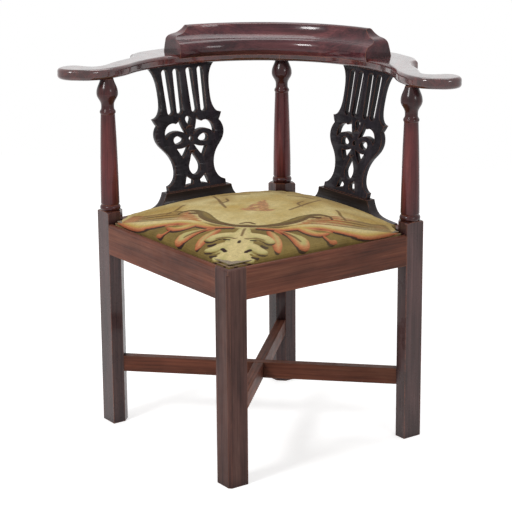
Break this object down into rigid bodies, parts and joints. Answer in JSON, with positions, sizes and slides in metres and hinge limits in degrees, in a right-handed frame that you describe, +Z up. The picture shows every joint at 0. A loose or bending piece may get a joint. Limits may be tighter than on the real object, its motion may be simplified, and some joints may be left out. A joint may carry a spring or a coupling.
{
  "type": "corner chair",
  "caption": "Corner chair with a square seat set diagonally, turned posts, pierced splats, a horseshoe arm under a crest rail, crossed stretchers and a lift-out padded seat.",
  "frame": {"origin": "on the floor under the middle of the chair's bounding box", "axes": "+Z up, -Y towards the front leg, +Y towards the back post, +X towards the sitter's left hand"},
  "size_m": [0.8006, 0.7056, 0.795],
  "materials": {
    "mahogany": "polished",
    "oak": "matte",
    "beech": "matte",
    "needlework": "matte",
    "webbing": "matte",
    "sacking": "matte",
    "stuffing": "matte",
    "iron": "matte"
  },
  "bodies": {
    "chair_frame": {"front_leg": "mahogany", "left_post": "mahogany", "right_post": "mahogany", "back_post": "mahogany", "front_left_rail": "mahogany", "front_right_rail": "mahogany", "back_left_rail": "mahogany", "back_right_rail": "mahogany", "back_left_ledger": "oak", "back_right_ledger": "oak", "back_left_shoe": "mahogany", "back_right_shoe": "mahogany", "back_left_splat": "mahogany", "back_right_splat": "mahogany", "ledger_screws": "iron", "left_right_stretcher": "mahogany", "front_back_stretcher": "mahogany", "front_corner_block": "oak", "right_corner_block": "oak", "back_corner_block": "oak", "left_corner_block": "oak", "left_arm": "mahogany", "right_arm": "mahogany", "crest_rail": "mahogany", "crest_screws": "iron"},
    "drop_in_seat": {"seat_member_front_left": "beech", "seat_member_front_right": "beech", "seat_member_back_left": "beech", "seat_member_back_right": "beech", "seat_webbing": "webbing", "seat_sacking": "sacking", "seat_stuffing": "stuffing", "seat_cover": "needlework", "seat_tacks": "iron"}
  },
  "joints": [
    {"name": "seat_lift", "type": "slide", "parent": "chair_frame", "child": "drop_in_seat", "axis": [0, 0, 1], "range_m": [0, 0.15]}
  ]
}
